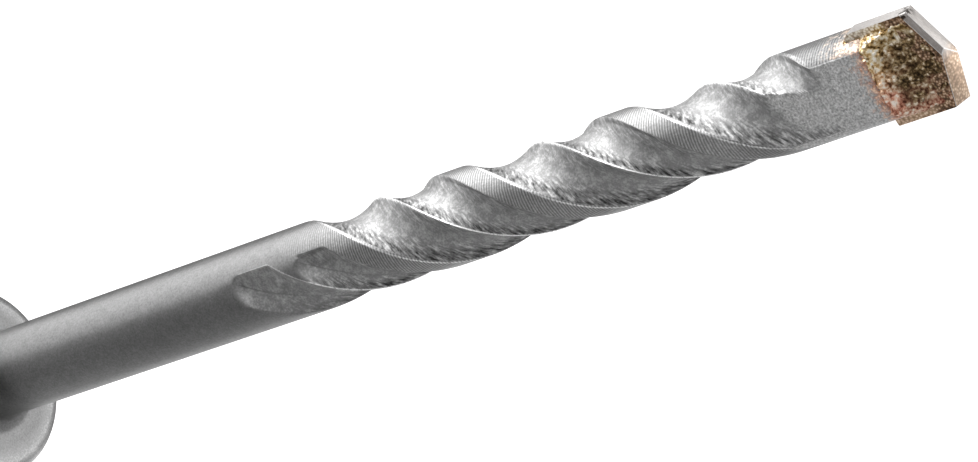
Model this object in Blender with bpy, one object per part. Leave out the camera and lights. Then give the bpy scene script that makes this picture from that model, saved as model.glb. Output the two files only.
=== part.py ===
"""Masonry drill bit: slotted hammer shank, fluted shaft and a brazed carbide plate.

Metres, +Z up. The bit stands on the end face of its shank. The origin is the centre of that face,
+Z runs along the axis to the point, and the carbide plate lies along X.
"""

import math

import bmesh
import bpy
from mathutils import Matrix, Vector

# Lengths along the axis, one after another from the shank's end face
SHANK_LENGTH = 0.0492
PLAIN_SHAFT_LENGTH = 0.0200
FLUTED_LENGTH = 0.0327
HEAD_LENGTH = 0.0051
PLATE_HEIGHT = 0.0039
SEAT_DEPTH = 0.0009
NARROW_FLUTE_DELAY = 0.0042

# Diameters and edges of the turned blank
SHANK_DIAMETER = 0.010
SHAFT_DIAMETER = 0.0043
END_CHAMFER = 0.0008
SHOULDER_ROUND = 0.0007
SHOULDER_FILLET = 0.0009
HEAD_CHAMFER = 0.00015

# Open drive slots and closed ball pockets of the shank
SLOT_WIDTH = 0.0028
SLOT_FLOOR = 0.0036
SLOT_LENGTH = 0.036
SLOT_CUTTER_RADIUS = 0.014
BALL_RADIUS = 0.0035
POCKET_FLOOR = 0.0033
POCKET_START = 0.0105
POCKET_LENGTH = 0.0205

# Two pairs of right-handed flutes, in degrees round the axis and depths below the shaft's surface
FLUTE_LEAD = 0.01986
LAND_ANGLE = 33.0
SHOULDER_ANGLE = 4.9
WIDE_FLUTE_ANGLE = 80.6
SHOULDER_DROP = 0.00026
WIDE_FLUTE_HOLLOW = 0.00005
NARROW_FLUTE_HOLLOW = 0.00006
RIDGE_DROP_START = 0.00003
RIDGE_DROP_END = 0.00021
FLUTE_EDGE_AZIMUTH = 131.0

# Blunt starts of the flutes: the edge nearer the tip runs straight before it turns into the helix
RUN_IN = 0.00025
RUN_IN_ROUNDING = 0.0003
WIDE_START_LEAD = 45.9
NARROW_START_LEAD = 36.5
LEAD_BLEND = 0.0025
CREASE_DEPTH = 0.00010
CREASE_LENGTH = 0.0035
WIDE_CREASE_ANGLE = 29.0
NARROW_CREASE_ANGLE = 25.5
LEAST_CREASE_SHARE = 0.08
LEAST_CREST_ANGLE = 12.0

# Head: two flat gullets, and the lands that hold the plate
GULLET_ANGLE = 91.0
GULLET_EDGE_AZIMUTH = 127.0
LEAST_RIDGE_ANGLE = 18.0
HEAD_LAND_GAIN = 9.0
HEAD_LAND_GAIN_LENGTH = 0.0026

# Carbide plate, set a little off centre as in the photo, with ground flanks, bevels and relieved ends
PLATE_WIDTH = 0.0050
PLATE_THICKNESS = 0.0012
PLATE_OFFSET = -0.00013
PLATE_CHAMFER = 0.00025
POINT_ANGLE = 145.0
EDGE_OFFSET = 0.00037
FLANK_RELIEF_ANGLE = 17.2
BEVEL_ANGLE = 40.2
END_RELIEF_ANGLE = 10.0

# Braze filler: the joint round the plate and a fillet on each cheek
BRAZE_JOINT = 0.00010
FILLET_RISE = 0.0018
FIT_GAP = 0.00002

# Mesh steps
LAND_STEPS = 4
SHOULDER_STEPS = 2
WALL_STEPS = 5
BED_STEPS = 4
RING_STEP = 0.0007
FINE_RING_STEP = 0.00035
START_RING_STEP = 0.00013
ARC_STEPS = 4
SHAFT_STEPS = 4
HALVINGS = 20
SHARP_ANGLE = 30.0
CUT_OVERRUN = 0.001

# Worked out from the sizes above
SHAFT_RADIUS = SHAFT_DIAMETER / 2
SHANK_RADIUS = SHANK_DIAMETER / 2
WIDE_FLUTE_START = SHANK_LENGTH + PLAIN_SHAFT_LENGTH
NARROW_FLUTE_START = WIDE_FLUTE_START + NARROW_FLUTE_DELAY
HEAD_START = WIDE_FLUTE_START + FLUTED_LENGTH
STEEL_END = HEAD_START + HEAD_LENGTH
PLATE_BOTTOM = STEEL_END - SEAT_DEPTH
TOTAL_LENGTH = PLATE_BOTTOM + PLATE_HEIGHT
DEGREES_PER_METRE = 360.0 / FLUTE_LEAD
GULLET_MIDDLE_AZIMUTH = GULLET_EDGE_AZIMUTH - GULLET_ANGLE / 2
GULLET_FAR_AZIMUTH = GULLET_EDGE_AZIMUTH - GULLET_ANGLE + 180.0


def clear_scene():
    """Remove every object that the file opened with."""
    for obj in list(bpy.data.objects):
        bpy.data.objects.remove(obj, do_unlink=True)


def polar(radius, degrees, height):
    """Point at this radius and azimuth."""
    angle = math.radians(degrees)
    return Vector((radius * math.cos(angle), radius * math.sin(angle), height))


def eased(share):
    """Smooth rise from 0 to 1."""
    share = min(max(share, 0.0), 1.0)
    return share * share * (3.0 - 2.0 * share)


def spread(start, end, steps):
    """Equally spaced values from start up to, and without, end."""
    return [start + (end - start) * i / steps for i in range(steps)]


def flute_radius(share, span, start_radius, end_radius, hollow):
    """Radius at this share of a flute: the straight line between its crests, hollowed in the middle."""
    start_part = start_radius * math.sin(math.radians(share * span))
    end_part = end_radius * math.sin(math.radians((1 - share) * span))
    straight = start_radius * end_radius * math.sin(math.radians(span)) / (start_part + end_part)
    return straight - 4 * hollow * share * (1 - share)


def run_in(height, start, share):
    """How much of its depth a flute has at this height. Its blunt end is rounded across the groove."""
    late = RUN_IN_ROUNDING * (2 * share - 1) ** 2
    return eased((height - start - late) / RUN_IN)


def start_lead(height, start, lead):
    """Degrees by which a flute's edge is ahead of the helix, so that it starts straight."""
    left = lead - (height - start) * DEGREES_PER_METRE
    return max(left, 0.0) * eased((height - start) / LEAD_BLEND + 1)


def flat_radius(azimuth, edge):
    """Radius of the gullet's flat at this azimuth. It meets the shaft's surface at the land's edge."""
    half_angle = edge - GULLET_MIDDLE_AZIMUTH
    off_middle = azimuth - GULLET_MIDDLE_AZIMUTH
    if abs(off_middle) >= half_angle:
        return SHAFT_RADIUS
    return SHAFT_RADIUS * math.cos(math.radians(half_angle)) / math.cos(math.radians(off_middle))


def free_edge(height):
    """Azimuth that the land's edge has on the helix, as if no gullet stopped it."""
    return FLUTE_EDGE_AZIMUTH + (height - HEAD_START) * DEGREES_PER_METRE


def section_azimuths(height):
    """Azimuths of the ridge, the land's two edges and its shoulder's foot. The gullet stops them."""
    free = free_edge(height)
    free_ridge = free - WIDE_FLUTE_ANGLE + start_lead(height, WIDE_FLUTE_START, WIDE_START_LEAD)
    ridge = min(free_ridge, GULLET_EDGE_AZIMUTH - LEAST_RIDGE_ANGLE)
    edge = min(free, GULLET_EDGE_AZIMUTH)
    far_edge = min(free + far_edge_angle(height), GULLET_FAR_AZIMUTH)
    return ridge, edge, far_edge, far_edge + SHOULDER_ANGLE


def far_edge_angle(height):
    """Width of the land in degrees. It is wider beside the narrow flute's start and at the head."""
    head_gain = HEAD_LAND_GAIN * eased((height - HEAD_START) / HEAD_LAND_GAIN_LENGTH)
    return LAND_ANGLE + start_lead(height, NARROW_FLUTE_START, NARROW_START_LEAD) + head_gain


def ridge_radius(height):
    """Radius of the small ridge between the flutes, which gets lower towards the head."""
    along = (height - NARROW_FLUTE_START) / (HEAD_START - NARROW_FLUTE_START)
    drop = RIDGE_DROP_START + (RIDGE_DROP_END - RIDGE_DROP_START) * min(max(along, 0.0), 1.0)
    return SHAFT_RADIUS - drop * run_in(height, NARROW_FLUTE_START, 0.5)


def creased_shares(span, crease_angle):
    """Share of the flute's width at each of its points, with one of them on the crease."""
    crease = crease_share(span, crease_angle)
    return spread(0.0, crease, WALL_STEPS) + spread(crease, 1.0, BED_STEPS)


def crease_share(span, crease_angle):
    """Share of the flute's width at which its crease lies."""
    return max(1 - crease_angle / span, LEAST_CREASE_SHARE)


def crease_depth(height, start, share, crease):
    """Depth of the V-shaped crease that a flute has at its start."""
    part = share / crease if share < crease else (1 - share) / (1 - crease)
    return CREASE_DEPTH * part * eased(1 - (height - start) / CREASE_LENGTH)


def wide_radius(height, azimuth, ridge, edge):
    """Radius of the wide flute at this azimuth, before the gullet's flat cuts it."""
    if azimuth < ridge:
        return SHAFT_RADIUS
    span = edge - ridge
    share = (azimuth - ridge) / span
    hollow = WIDE_FLUTE_HOLLOW * (span / WIDE_FLUTE_ANGLE) ** 2
    floor = flute_radius(share, span, ridge_radius(height), SHAFT_RADIUS, hollow)
    floor -= crease_depth(height, WIDE_FLUTE_START, share, crease_share(span, WIDE_CREASE_ANGLE))
    return SHAFT_RADIUS - (SHAFT_RADIUS - floor) * run_in(height, WIDE_FLUTE_START, share)


def narrow_radius(height, azimuth, shoulder_foot, ridge, edge):
    """Radius of the narrow flute at this azimuth, before the gullet's flat cuts it."""
    span = ridge + 180.0 - shoulder_foot
    share = (azimuth - shoulder_foot) / span
    start_radius = shoulder_radius(height, shoulder_foot, edge)
    floor = flute_radius(share, span, start_radius, ridge_radius(height), NARROW_FLUTE_HOLLOW)
    floor -= crease_depth(height, NARROW_FLUTE_START, share, crease_share(span, NARROW_CREASE_ANGLE))
    return SHAFT_RADIUS - (SHAFT_RADIUS - floor) * run_in(height, NARROW_FLUTE_START, share)


def crest_azimuth(height, shoulder_foot, ridge, edge):
    """Azimuth of the crest between the flutes: the ridge, or where the gullet's flat cuts it off."""
    low = shoulder_foot - 180.0 + LEAST_CREST_ANGLE
    high = ridge
    if flat_radius(high, edge) >= ridge_radius(height):
        return high
    for _ in range(HALVINGS):
        middle = (low + high) / 2
        uncut = narrow_radius(height, middle + 180.0, shoulder_foot, ridge, edge)
        if uncut > flat_radius(middle, edge):
            high = middle
        else:
            low = middle
    return high


def wide_flute_points(height, crest, ridge, edge):
    """Azimuth and radius of each point of the wide flute, from the crest to the land's edge."""
    points = []
    span = edge - crest
    for share in creased_shares(span, WIDE_CREASE_ANGLE):
        azimuth = crest + share * span
        radius = wide_radius(height, azimuth, ridge, edge)
        points.append((azimuth, min(radius, flat_radius(azimuth, edge))))
    return points


def land_points(height, edge, far_edge, shoulder_foot):
    """Azimuth and radius of each point of the land and its shoulder."""
    points = [(azimuth, SHAFT_RADIUS) for azimuth in spread(edge, far_edge, LAND_STEPS)]
    for azimuth in spread(far_edge, shoulder_foot, SHOULDER_STEPS):
        points.append((azimuth, shoulder_radius(height, azimuth, edge)))
    return points


def shoulder_radius(height, azimuth, edge):
    """Radius of the land's shoulder, where the gullet's flat hasn't cut it away."""
    share = (azimuth - free_edge(height) - far_edge_angle(height)) / SHOULDER_ANGLE
    drop = SHOULDER_DROP * eased(share) * run_in(height, NARROW_FLUTE_START, 0.0)
    return min(SHAFT_RADIUS - drop, flat_radius(azimuth - 180.0, edge))


def narrow_flute_points(height, shoulder_foot, crest, ridge, edge):
    """Azimuth and radius of each point of the narrow flute, from the shoulder to the next crest."""
    points = []
    span = crest + 180.0 - shoulder_foot
    for share in creased_shares(span, NARROW_CREASE_ANGLE):
        azimuth = shoulder_foot + share * span
        radius = narrow_radius(height, azimuth, shoulder_foot, ridge, edge)
        points.append((azimuth, min(radius, flat_radius(azimuth - 180.0, edge))))
    return points


def half_section(height):
    """Azimuth and radius of each point of half the section: wide flute, land, then narrow flute."""
    ridge, edge, far_edge, shoulder_foot = section_azimuths(height)
    crest = crest_azimuth(height, shoulder_foot, ridge, edge)
    points = wide_flute_points(height, crest, ridge, edge)
    points += land_points(height, edge, far_edge, shoulder_foot)
    points += narrow_flute_points(height, shoulder_foot, crest, ridge, edge)
    return points


def full_section(height, trim=0.0):
    """Ring of points of the whole section, trimmed inwards for a chamfer."""
    half = half_section(height)
    ring = [polar(radius - trim, azimuth, height) for azimuth, radius in half]
    ring += [polar(radius - trim, azimuth + 180.0, height) for azimuth, radius in half]
    return ring


def turned_ring(radius, height, share=0.0):
    """Ring of a turned surface. Its points go from even steps to the flutes' own with the share."""
    half = half_section(WIDE_FLUTE_START)
    even = spread(half[0][0], half[0][0] + 180.0, len(half))
    azimuths = [step + share * (own - step) for step, (own, _) in zip(even, half)]
    ring = [polar(radius, azimuth, height) for azimuth in azimuths]
    ring += [polar(radius, azimuth + 180.0, height) for azimuth in azimuths]
    return ring


def shank_rings():
    """Rings of the shank: end chamfer, cylinder, rounded shoulder, and the fillet into the shaft."""
    rings = [turned_ring(SHANK_RADIUS - END_CHAMFER, 0.0), turned_ring(SHANK_RADIUS, END_CHAMFER)]
    for i in range(ARC_STEPS + 1):
        turn = math.pi / 2 * i / ARC_STEPS
        radius = SHANK_RADIUS - SHOULDER_ROUND * (1 - math.cos(turn))
        rings.append(turned_ring(radius, SHANK_LENGTH - SHOULDER_ROUND * (1 - math.sin(turn))))
    for i in range(ARC_STEPS + 1):
        turn = math.pi / 2 * i / ARC_STEPS
        radius = SHAFT_RADIUS + SHOULDER_FILLET * (1 - math.sin(turn))
        rings.append(turned_ring(radius, SHANK_LENGTH + SHOULDER_FILLET * (1 - math.cos(turn))))
    return rings


def shaft_rings():
    """Rings of the plain shaft between the fillet and the first flute."""
    low = SHANK_LENGTH + SHOULDER_FILLET
    shares = [i / SHAFT_STEPS for i in range(1, SHAFT_STEPS)]
    return [turned_ring(SHAFT_RADIUS, low + (WIDE_FLUTE_START - low) * share, share) for share in shares]


def flute_heights():
    """Heights of the fluted rings, closer together where the flutes start and end."""
    start_length = RUN_IN + RUN_IN_ROUNDING
    stretches = [
        (WIDE_FLUTE_START, WIDE_FLUTE_START + start_length, START_RING_STEP),
        (WIDE_FLUTE_START + start_length, NARROW_FLUTE_START, FINE_RING_STEP),
        (NARROW_FLUTE_START, NARROW_FLUTE_START + start_length, START_RING_STEP),
        (NARROW_FLUTE_START + start_length, NARROW_FLUTE_START + CREASE_LENGTH, FINE_RING_STEP),
        (NARROW_FLUTE_START + CREASE_LENGTH, HEAD_START, RING_STEP),
        (HEAD_START, STEEL_END - HEAD_CHAMFER, FINE_RING_STEP),
    ]
    heights = []
    for start, end, step in stretches:
        heights += spread(start, end, max(1, round((end - start) / step)))
    return heights + [STEEL_END - HEAD_CHAMFER]


def make_object(name, bm):
    """Object of this mesh, shaded smooth with its sharp edges kept."""
    mesh = bpy.data.meshes.new(name)
    bmesh.ops.recalc_face_normals(bm, faces=bm.faces)
    bm.to_mesh(mesh)
    bm.free()
    mesh.shade_smooth()
    mesh.set_sharp_from_angle(angle=math.radians(SHARP_ANGLE))
    obj = bpy.data.objects.new(name, mesh)
    bpy.context.scene.collection.objects.link(obj)
    return obj


def loft(rings):
    """Closed mesh through equal rings, capped at both ends."""
    bm = bmesh.new()
    rows = [[bm.verts.new(point) for point in ring] for ring in rings]
    for low, high in zip(rows, rows[1:]):
        for i, corner in enumerate(low):
            j = (i + 1) % len(low)
            bm.faces.new((corner, low[j], high[j], high[i]))
    bm.faces.new(list(reversed(rows[0])))
    bm.faces.new(rows[-1])
    return bm


def extruded(outline, direction):
    """Closed mesh of a flat outline pushed along a direction."""
    bm = bmesh.new()
    face = bm.faces.new([bm.verts.new(point) for point in outline])
    pushed = bmesh.ops.extrude_face_region(bm, geom=[face], use_keep_orig=True)
    moved = [item for item in pushed["geom"] if isinstance(item, bmesh.types.BMVert)]
    bmesh.ops.translate(bm, vec=direction, verts=moved)
    return bm


def make_block(low, high):
    """Closed box between two corners."""
    bm = bmesh.new()
    size = Vector(high) - Vector(low)
    centre = (Vector(high) + Vector(low)) / 2
    placed = Matrix.Translation(centre) @ Matrix.Diagonal((*size, 1.0))
    bmesh.ops.create_cube(bm, size=1.0, matrix=placed)
    return bm


def combine(target, operation, cutter, label):
    """Boolean modifier on the target. The cutter stays in the scene as a wire that isn't rendered."""
    cutter.hide_render = True
    cutter.display_type = "WIRE"
    boolean = target.modifiers.new(label, "BOOLEAN")
    boolean.operation = operation
    boolean.solver = "EXACT"
    boolean.object = cutter


def drive_slot_cutter(number, side):
    """Disc-milled slot that is open at the shank's end, on the +X or -X side."""
    outside = SHANK_RADIUS + CUT_OVERRUN
    outline = [
        Vector((side * outside, -SLOT_WIDTH / 2, -CUT_OVERRUN)),
        Vector((side * SLOT_FLOOR, -SLOT_WIDTH / 2, -CUT_OVERRUN)),
    ]
    disc_centre = SLOT_FLOOR + SLOT_CUTTER_RADIUS
    last = math.acos((disc_centre - outside) / SLOT_CUTTER_RADIUS)
    for i in range(2 * ARC_STEPS + 1):
        turn = last * i / (2 * ARC_STEPS)
        reach = disc_centre - SLOT_CUTTER_RADIUS * math.cos(turn)
        height = SLOT_LENGTH + SLOT_CUTTER_RADIUS * math.sin(turn)
        outline.append(Vector((side * reach, -SLOT_WIDTH / 2, height)))
    return make_object(f"drive_slot_cutter_{number}", extruded(outline, Vector((0, SLOT_WIDTH, 0))))


def ball_pocket_cutter(number, side):
    """Round-ended pocket for a locking ball, on the +Y or -Y side."""
    bm = bmesh.new()
    rows = 4 * ARC_STEPS - 1
    bmesh.ops.create_uvsphere(bm, u_segments=6 * ARC_STEPS, v_segments=rows, radius=BALL_RADIUS)
    upper = [vert for vert in bm.verts if vert.co.z > 0]
    bmesh.ops.translate(bm, vec=(0, 0, POCKET_LENGTH - 2 * BALL_RADIUS), verts=upper)
    place = (0, side * (POCKET_FLOOR + BALL_RADIUS), POCKET_START + BALL_RADIUS)
    bmesh.ops.translate(bm, vec=place, verts=bm.verts)
    return make_object(f"ball_pocket_cutter_{number}", bm)


def seat_cutter():
    """Slot across the head for the plate and the braze round it."""
    clearance = BRAZE_JOINT + 2 * FIT_GAP
    half = PLATE_THICKNESS / 2 + clearance
    low = (-SHANK_RADIUS, -half, PLATE_BOTTOM - clearance)
    high = (SHANK_RADIUS, half, TOTAL_LENGTH)
    return make_object("seat_cutter", make_block(low, high))


def drill_body(material):
    """Steel body: shank, shaft, flutes and head in one piece."""
    rings = shank_rings() + shaft_rings()
    rings += [full_section(height) for height in flute_heights()]
    rings.append(full_section(STEEL_END, HEAD_CHAMFER))
    body = make_object("drill_body", loft(rings))
    body.data.materials.append(material)
    for number, side in ((1, 1), (2, -1)):
        combine(body, "DIFFERENCE", drive_slot_cutter(number, side), "drive slot")
        combine(body, "DIFFERENCE", ball_pocket_cutter(number, side), "ball pocket")
    combine(body, "DIFFERENCE", seat_cutter(), "plate seat")
    return body


def grind(bm, point, normal):
    """Take off what lies outside a plane and close the ground face."""
    geometry = bm.verts[:] + bm.edges[:] + bm.faces[:]
    cut = bmesh.ops.bisect_plane(bm, geom=geometry, plane_co=point, plane_no=normal, clear_outer=True)
    edges = [item for item in cut["geom_cut"] if isinstance(item, bmesh.types.BMEdge)]
    bmesh.ops.contextual_create(bm, geom=edges)


def plate_block(grow, top):
    """Plate before grinding, grown on every side, with chamfered lower corners."""
    half_width = PLATE_WIDTH / 2 + grow
    half_thickness = PLATE_THICKNESS / 2 + grow
    low = PLATE_BOTTOM - grow
    corner = PLATE_CHAMFER
    outline = [(-half_width + corner, low), (half_width - corner, low), (half_width, low + corner)]
    outline += [(half_width, top), (-half_width, top), (-half_width, low + corner)]
    face = [Vector((x, -half_thickness, z)) for x, z in outline]
    return extruded(face, Vector((0, 2 * half_thickness, 0)))


def carbide_tip(material):
    """Roof-shaped plate: each half has a relieved flank and a bevel on its leading side."""
    bm = plate_block(0.0, TOTAL_LENGTH + CUT_OVERRUN)
    fall = 1 / math.tan(math.radians(POINT_ANGLE / 2))
    relief = math.tan(math.radians(FLANK_RELIEF_ANGLE))
    bevel = math.tan(math.radians(BEVEL_ANGLE))
    end_relief = math.tan(math.radians(END_RELIEF_ANGLE))
    ridge_height = TOTAL_LENGTH + EDGE_OFFSET * relief
    for side in (1, -1):
        corner = Vector((side * PLATE_WIDTH / 2, side * PLATE_THICKNESS / 2, 0))
        grind(bm, corner, Vector((side, -side * end_relief, 0)))
        edge = Vector((0, side * EDGE_OFFSET, ridge_height))
        grind(bm, edge, Vector((side * fall, -side * relief, 1)))
        grind(bm, edge, Vector((side * fall, side * bevel, 1)))
    bmesh.ops.translate(bm, vec=(PLATE_OFFSET, 0, 0), verts=bm.verts)
    tip = make_object("carbide_tip", bm)
    tip.data.materials.append(material)
    return tip


def filler_outline():
    """Section of the filler across the plate: a narrow foot in the seat under two hollow fillets."""
    foot = PLATE_THICKNESS / 2 + BRAZE_JOINT + FIT_GAP
    bottom = PLATE_BOTTOM - BRAZE_JOINT - FIT_GAP
    shelf = STEEL_END + FIT_GAP
    reach = SHAFT_RADIUS
    right = [(foot, bottom), (foot, shelf), (reach, shelf), (reach, shelf + HEAD_CHAMFER)]
    for i in range(1, ARC_STEPS + 1):
        turn = math.pi / 2 * i / ARC_STEPS
        y = reach - (reach - foot) * math.sin(turn)
        z = shelf + HEAD_CHAMFER + FILLET_RISE * (1 - math.cos(turn))
        right.append((y, z))
    return right + [(-y, z) for y, z in reversed(right)]


def braze_filler(material):
    """Braze that holds the plate: a thin channel in the seat and a fillet on each cheek."""
    outline = [Vector((-SHANK_RADIUS, y, z)) for y, z in filler_outline()]
    filler = make_object("braze_filler", extruded(outline, Vector((SHANK_DIAMETER, 0, 0))))
    filler.data.materials.append(material)
    combine(filler, "INTERSECT", head_envelope(), "head outline")
    combine(filler, "DIFFERENCE", plate_room(), "room for the plate")
    return filler


def head_envelope():
    """Outline of the head's top, drawn out past the filler at both ends."""
    bounds = [full_section(STEEL_END), full_section(STEEL_END)]
    for ring, height in zip(bounds, (PLATE_BOTTOM - CUT_OVERRUN, TOTAL_LENGTH)):
        for point in ring:
            point.z = height
    return make_object("head_envelope", loft(bounds))


def plate_room():
    """Room that the filler leaves for the plate."""
    room = plate_block(FIT_GAP, TOTAL_LENGTH + CUT_OVERRUN)
    bmesh.ops.translate(room, vec=(PLATE_OFFSET, 0, 0), verts=room.verts)
    return make_object("plate_room", room)


def finish(name, colour, metallic, roughness):
    """Principled material of one finish."""
    material = bpy.data.materials.new(name)
    material.use_nodes = True
    shader = material.node_tree.nodes["Principled BSDF"]
    shader.inputs["Base Color"].default_value = (*colour, 1.0)
    shader.inputs["Metallic"].default_value = metallic
    shader.inputs["Roughness"].default_value = roughness
    return material


def main():
    """Build the three pieces."""
    clear_scene()
    drill_body(finish("blasted_steel", (0.36, 0.36, 0.36), 1.0, 0.42))
    carbide_tip(finish("sintered_carbide", (0.22, 0.21, 0.20), 1.0, 0.45))
    braze_filler(finish("copper_braze", (0.55, 0.33, 0.16), 1.0, 0.50))


main()
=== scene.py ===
import logging
import math
from dataclasses import dataclass
from enum import Enum
from typing import Union

import bmesh
import bpy
from mathutils import Matrix, Vector, noise


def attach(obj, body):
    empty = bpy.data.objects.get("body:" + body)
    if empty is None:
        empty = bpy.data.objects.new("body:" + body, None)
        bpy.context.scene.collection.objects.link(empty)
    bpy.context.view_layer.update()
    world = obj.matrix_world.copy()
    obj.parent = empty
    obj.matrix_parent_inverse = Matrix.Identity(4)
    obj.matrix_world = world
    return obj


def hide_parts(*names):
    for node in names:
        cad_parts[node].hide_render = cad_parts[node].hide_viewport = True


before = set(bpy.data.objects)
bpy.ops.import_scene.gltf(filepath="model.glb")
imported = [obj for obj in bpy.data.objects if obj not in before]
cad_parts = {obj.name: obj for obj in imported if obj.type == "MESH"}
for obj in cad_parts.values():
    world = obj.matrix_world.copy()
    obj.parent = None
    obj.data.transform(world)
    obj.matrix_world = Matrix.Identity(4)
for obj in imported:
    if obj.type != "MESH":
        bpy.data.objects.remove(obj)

# Dressed model of a masonry drill bit. Metres, +Z up, in the row frame: the bit stands on its shank.

log = logging.getLogger("drill_bit")

MM_PER_METRE = 1000.0
OCTAVE_SHARE = 0.6
CELL_DISTANCES = (0.75, 0.10)

Number = Union[float, "Term"]
Range = tuple[float, float]
Shades = tuple[tuple[float, str], ...]


# Nodes


def linear(colour: str) -> tuple[float, float, float, float]:
    """Turn an sRGB hex colour into linear values.

    Args:
        colour: Six hex digits after a hash sign.

    Returns:
        Red, green, blue and an alpha of 1.
    """
    values = []
    for start in (1, 3, 5):
        share = int(colour[start:start + 2], 16) / 255
        values.append(share / 12.92 if share <= 0.04045 else ((share + 0.055) / 1.055) ** 2.4)
    return (*values, 1.0)


def add_node(tree: bpy.types.NodeTree, kind: str, inputs: dict | None = None, **settings) -> bpy.types.Node:
    """Add a node with its settings, its input values and its links.

    Args:
        tree: Node tree that gets the node.
        kind: Node type.
        inputs: Value, Term or socket for each input, by name or number.
        settings: Properties of the node.

    Returns:
        The new node.
    """
    node = tree.nodes.new(kind)
    for name, value in settings.items():
        setattr(node, name, value)
    for name, value in (inputs or {}).items():
        source = value.socket if isinstance(value, Term) else value
        if isinstance(source, bpy.types.NodeSocket):
            tree.links.new(source, node.inputs[name])
        else:
            node.inputs[name].default_value = source
    return node


@dataclass(frozen=True)
class Term:
    """A number that nodes work out, so that a rule reads as a formula."""

    tree: bpy.types.NodeTree
    socket: bpy.types.NodeSocket

    def math(self, operation: str, *others: Number, clamp: bool = False) -> "Term":
        """Apply one Math operation.

        Args:
            operation: Name of the operation.
            others: Its further operands.
            clamp: Whether the result stays between 0 and 1.

        Returns:
            The result.
        """
        inputs = {0: self}
        inputs.update({i + 1: other for i, other in enumerate(others)})
        node = add_node(self.tree, "ShaderNodeMath", inputs, operation=operation, use_clamp=clamp)
        return Term(self.tree, node.outputs[0])

    def __add__(self, other: Number) -> "Term":
        """Sum."""
        return self.math("ADD", other)

    def __sub__(self, other: Number) -> "Term":
        """Difference."""
        return self.math("SUBTRACT", other)

    def __rsub__(self, other: Number) -> "Term":
        """Difference from a plain number."""
        return self.math("MULTIPLY_ADD", -1.0, other)

    def __mul__(self, other: Number) -> "Term":
        """Product."""
        return self.math("MULTIPLY", other)

    def __truediv__(self, other: Number) -> "Term":
        """Quotient."""
        return self.math("DIVIDE", other)

    def lowest(self, other: Number) -> "Term":
        """Smaller of two."""
        return self.math("MINIMUM", other)

    def highest(self, other: Number) -> "Term":
        """Larger of two."""
        return self.math("MAXIMUM", other)

    def clamped(self) -> "Term":
        """Held between 0 and 1."""
        return self.math("ADD", 0.0, clamp=True)

    def eased(self) -> "Term":
        """Smooth rise from 0 to 1."""
        share = self.clamped()
        return share * share * (3.0 - share * 2.0)

    def cos(self) -> "Term":
        """Cosine of an angle in degrees."""
        return self.math("RADIANS").math("COSINE")

    def sin(self) -> "Term":
        """Sine of an angle in degrees."""
        return self.math("RADIANS").math("SINE")

    def above(self, limit: Number) -> "Term":
        """1 above the limit and 0 below it."""
        return self.math("GREATER_THAN", limit)

    def between(self, low: float, high: float) -> "Term":
        """Share of the way from low to high, held between 0 and 1."""
        node = add_node(self.tree, "ShaderNodeMapRange", {"Value": self, "From Min": low, "From Max": high})
        return Term(self.tree, node.outputs[0])

    def line(self, middle: float, half_width: float) -> "Term":
        """Line along one value: 1 on it, and 0 from its half width on."""
        return 1.0 - ((self - middle) / half_width).math("ABSOLUTE").lowest(1.0)


# Sizes


@dataclass(frozen=True)
class BitSizes:
    """Sizes of the whole bit that its pieces share, in metres."""

    shank_end: float = 0.0492
    wide_flute_start: float = 0.0692
    narrow_flute_start: float = 0.0734
    head_start: float = 0.1019
    steel_end: float = 0.1070
    plate_bottom: float = 0.1061
    total_length: float = 0.1100
    shank_radius: float = 0.0050
    shaft_radius: float = 0.00215
    plate_thickness: float = 0.0012
    plate_width: float = 0.0050
    plate_offset: float = -0.00013


BIT = BitSizes()


# Finishes


def new_material(name: str, roughness: float, metallic: float) -> bpy.types.Material:
    """Start a Principled material.

    Args:
        name: Common name of the real material and how its surface was made.
        roughness: Roughness where nothing varies it.
        metallic: 1 for a metal.

    Returns:
        The material.
    """
    material = bpy.data.materials.new(name)
    material.use_nodes = True
    shader = shader_of(material)
    shader.inputs["Roughness"].default_value = roughness
    shader.inputs["Metallic"].default_value = metallic
    return material


def shader_of(material: bpy.types.Material) -> bpy.types.Node:
    """Principled shader of a material."""
    return material.node_tree.nodes["Principled BSDF"]


@dataclass(frozen=True)
class Coat:
    """One coat of colour: its shades follow a value, and it covers the coats below it by a share."""

    follows: Term
    shades: Shades
    cover: Number = 1.0


def coated(*coats: Coat) -> bpy.types.NodeSocket:
    """Lay coats of colour over one another.

    Args:
        coats: The coats, from the lowest up.

    Returns:
        The socket of the colour that shows.
    """
    shown = None
    for coat in coats:
        tree = coat.follows.tree
        ramp = add_node(tree, "ShaderNodeValToRGB", {0: coat.follows})
        stops = ramp.color_ramp.elements
        while len(stops) < len(coat.shades):
            stops.new(0.5)
        for stop, (position, colour) in zip(stops, coat.shades):
            stop.position = position
            stop.color = linear(colour)
        if shown is None:
            shown = ramp.outputs[0]
        else:
            layers = {"Factor": coat.cover, "A": shown, "B": ramp.outputs[0]}
            shown = add_node(tree, "ShaderNodeMix", layers, data_type="RGBA").outputs["Result"]
    return shown


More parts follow.
